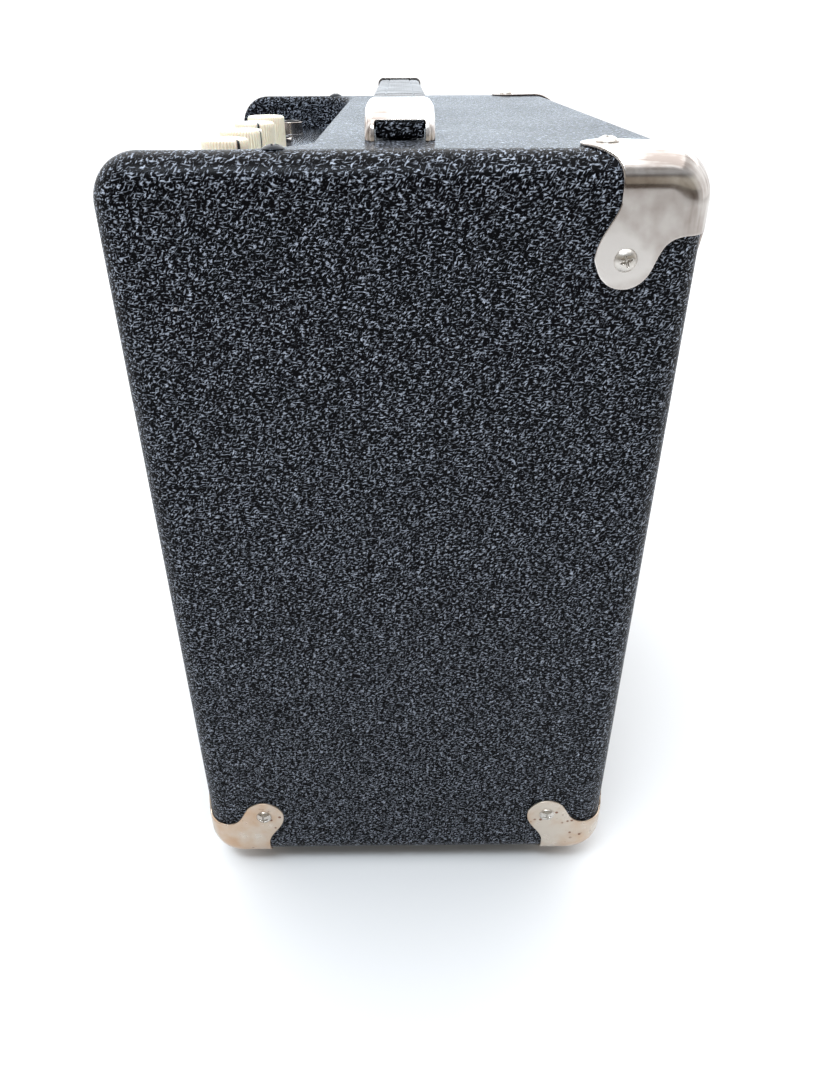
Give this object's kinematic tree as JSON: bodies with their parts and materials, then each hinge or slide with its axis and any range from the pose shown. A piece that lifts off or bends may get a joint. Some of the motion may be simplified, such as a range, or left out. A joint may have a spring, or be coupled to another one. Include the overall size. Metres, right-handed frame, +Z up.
{
  "type": "guitar amplifier",
  "caption": "Small valve guitar combo: vinyl-covered cabinet with metal corners, strap handle, sunken control panel with fluted knobs, chassis and an open-backed loudspeaker.",
  "frame": {"origin": "on the floor, under the middle of the cabinet", "axes": "+Z up; -Y is the front, where the loudspeaker faces; +X is the player's right when facing the front from inside, the lamp end of the panel"},
  "size_m": [0.3528, 0.2218, 0.3816],
  "materials": {
    "board_wood": "bare plywood",
    "vinyl": "black embossed vinyl, levant grain",
    "black_board": "plywood painted matt black",
    "grille_cloth": "woven grille cloth",
    "piping": "ivory piping",
    "black_steel": "black oxide",
    "chrome": "mirror chrome",
    "nickel": "dull nickel plate",
    "screw_steel": "zinc plate",
    "rubber": "moulded rubber",
    "spring_steel": "spring steel",
    "strap": "ribbed black vinyl strap",
    "panel_metal": "polished and lightly brushed",
    "ivory": "moulded ivory plastic",
    "jack_plastic": "moulded black plastic",
    "jewel": "faceted red jewel",
    "chassis_steel": "zinc-plated sheet",
    "circuit": "green laminate",
    "ceramic": "glazed ceramic",
    "valve_glass": "clear glass",
    "transformer": "varnished laminations",
    "rocker": "red rocker",
    "basket": "pressed steel, grey",
    "magnet": "ferrite and blackened steel",
    "cone_paper": "pressed paper",
    "surround": "doped cloth edge",
    "spider": "corrugated cloth",
    "coil": "copper winding"
  },
  "bodies": {
    "root": {"side_board_left": "board_wood", "side_board_right": "board_wood", "top_board": "board_wood", "bottom_board": "board_wood", "front_rails": "board_wood", "vinyl_cover": "vinyl", "baffle_board": "black_board", "grille_frame": "black_board", "grille_cloth": "grille_cloth", "grille_piping": "piping", "back_panel_upper": "vinyl", "back_panel_lower": "vinyl", "cleats": "board_wood", "back_panel_screws": "black_steel", "top_corner_left": "chrome", "top_corner_right": "chrome", "bottom_corners": "nickel", "corner_screws": "screw_steel", "rubber_feet": "rubber", "foot_screws": "screw_steel", "handle_spring": "spring_steel", "handle_end_left": "strap", "handle_end_right": "strap", "handle_cap_left": "chrome", "handle_cap_right": "chrome", "handle_screws": "black_steel", "control_panel": "panel_metal", "potentiometers": "screw_steel", "panel_nuts": "chrome", "input_jack": "jack_plastic", "phones_jack": "jack_plastic", "pilot_lamp": "jewel", "chassis": "chassis_steel", "chassis_walls": "chassis_steel", "chassis_rear": "chassis_steel", "chassis_screws": "black_steel", "circuit_board": "circuit", "valve_sockets": "ceramic", "valves": "valve_glass", "transformers": "transformer", "mains_inlet": "jack_plastic", "speaker_jack": "jack_plastic", "speaker_basket": "basket", "speaker_rim": "basket", "speaker_magnet": "magnet", "speaker_surround": "surround", "speaker_spider": "spider", "speaker_bolts": "black_steel"},
    "handle": {"handle_grip": "strap"},
    "rocker": {"power_rocker": "rocker"},
    "cone": {"speaker_cone": "cone_paper", "voice_coil": "coil"},
    "knob_1": {"knob_1": "ivory", "pot_shaft_1": "screw_steel"},
    "knob_2": {"knob_2": "ivory", "pot_shaft_2": "screw_steel"},
    "knob_3": {"knob_3": "ivory", "pot_shaft_3": "screw_steel"},
    "knob_4": {"knob_4": "ivory", "pot_shaft_4": "screw_steel"}
  },
  "joints": [
    {"name": "knob_1_turn", "type": "hinge", "parent": "root", "child": "knob_1", "pos_m": [0.108, -0.07, 0.358], "axis": [0, 0, 1], "range_deg": [-150, 150]},
    {"name": "knob_2_turn", "type": "hinge", "parent": "root", "child": "knob_2", "pos_m": [0.069, -0.07, 0.358], "axis": [0, 0, 1], "range_deg": [-150, 150]},
    {"name": "knob_3_turn", "type": "hinge", "parent": "root", "child": "knob_3", "pos_m": [0.03, -0.07, 0.358], "axis": [0, 0, 1], "range_deg": [-150, 150]},
    {"name": "knob_4_turn", "type": "hinge", "parent": "root", "child": "knob_4", "pos_m": [-0.009, -0.07, 0.358], "axis": [0, 0, 1], "range_deg": [-150, 150]},
    {"name": "rocker_tilt", "type": "hinge", "parent": "root", "child": "rocker", "pos_m": [-0.1145, 0.0965, 0.3263], "axis": [1, 0, 0], "range_deg": [-19, 0]},
    {"name": "handle_lift", "type": "slide", "parent": "root", "child": "handle", "axis": [0, 0, 1], "range_m": [0, 0.016], "stiffness_N_per_m": 600, "deforming": ["handle_end_left", "handle_end_right", "handle_spring"]},
    {"name": "cone_travel", "type": "slide", "parent": "root", "child": "cone", "axis": [0, 1, 0], "range_m": [-0.002, 0.002], "stiffness_N_per_m": 1500, "deforming": ["speaker_surround", "speaker_spider"]}
  ]
}
